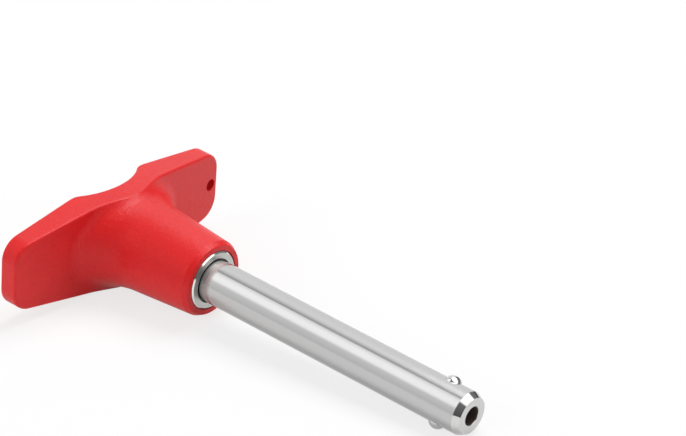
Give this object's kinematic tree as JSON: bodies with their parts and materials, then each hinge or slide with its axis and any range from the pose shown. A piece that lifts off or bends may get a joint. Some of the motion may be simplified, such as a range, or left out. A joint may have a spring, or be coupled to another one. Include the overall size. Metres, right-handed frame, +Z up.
{
  "type": "ball lock pin",
  "caption": "T-handle ball lock pin: a push button in the handle's thumb dish lets the locking balls into the shank's end.",
  "frame": {"origin": "middle of the part's footprint, on the surface that the pin lies on", "axes": "+X along the shank towards the tip, +Y along the handle towards the wing with the lanyard hole, +Z up"},
  "size_m": [0.1293, 0.0786, 0.0283],
  "materials": {
    "handle_plastic": "satin, finely grained red moulding",
    "ground_steel": "ground stainless steel",
    "button_steel": "turned stainless steel, satin",
    "ring_steel": "fine blasted stainless steel",
    "spring_steel": "drawn stainless wire",
    "ball_steel": "polished bearing steel"
  },
  "bodies": {
    "handle_and_shank": {"t_handle": "handle_plastic", "shank": "ground_steel", "guide_ring": "ring_steel", "return_spring": "spring_steel"},
    "plunger": {"push_button": "button_steel", "spindle": "ground_steel"},
    "ball_1": {"lock_ball_1": "ball_steel"},
    "ball_2": {"lock_ball_2": "ball_steel"}
  },
  "joints": [
    {"name": "button_press", "type": "slide", "parent": "handle_and_shank", "child": "plunger", "axis": [0.9977, 0, -0.0675], "range_m": [0, 0.0045], "stiffness_N_per_m": 1000, "springref_m": -0.008, "deforming": ["return_spring"]},
    {"name": "ball_1_in", "type": "slide", "parent": "handle_and_shank", "child": "ball_1", "axis": [-0.0585, -0.5, -0.864], "range_m": [0, 0.00135]},
    {"name": "ball_2_in", "type": "slide", "parent": "handle_and_shank", "child": "ball_2", "axis": [0.0585, 0.5, 0.864], "range_m": [0, 0.00135]}
  ],
  "couplings": [
    {"joint": "ball_1_in", "follows": "button_press", "ratio": 0.3},
    {"joint": "ball_2_in", "follows": "button_press", "ratio": 0.3}
  ]
}
